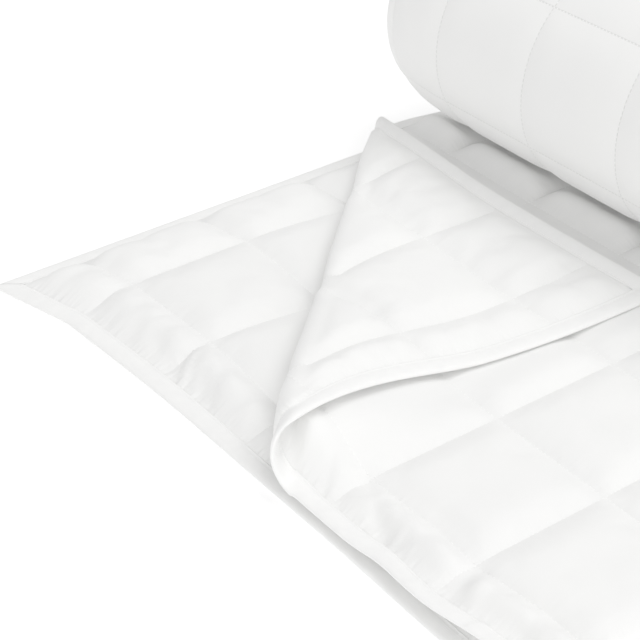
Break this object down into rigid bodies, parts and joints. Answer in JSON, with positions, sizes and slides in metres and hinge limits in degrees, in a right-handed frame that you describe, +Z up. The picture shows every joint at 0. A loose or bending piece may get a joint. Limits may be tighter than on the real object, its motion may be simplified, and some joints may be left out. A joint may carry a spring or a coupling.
{
  "type": "duvet, folded lengthwise with a rolled end",
  "caption": "White square-quilted single duvet with a bound edge, folded in half lengthwise, one corner turned back and the far end wound into a roll.",
  "frame": {"origin": "middle of the base of the laid-out duvet's box, on the surface it lies on", "axes": "+X along the front edge from the open long edges to the lengthwise fold, +Y from the front edge to the roll, +Z up"},
  "size_m": [0.6756, 0.6372, 0.2396],
  "materials": {
    "shell_cotton": "matte, fine plain weave",
    "binding_cotton": "matte, fine plain weave, topstitched"
  },
  "bodies": {
    "root": {"duvet_body": "shell_cotton", "edge_binding": "binding_cotton"}
  },
  "joints": []
}
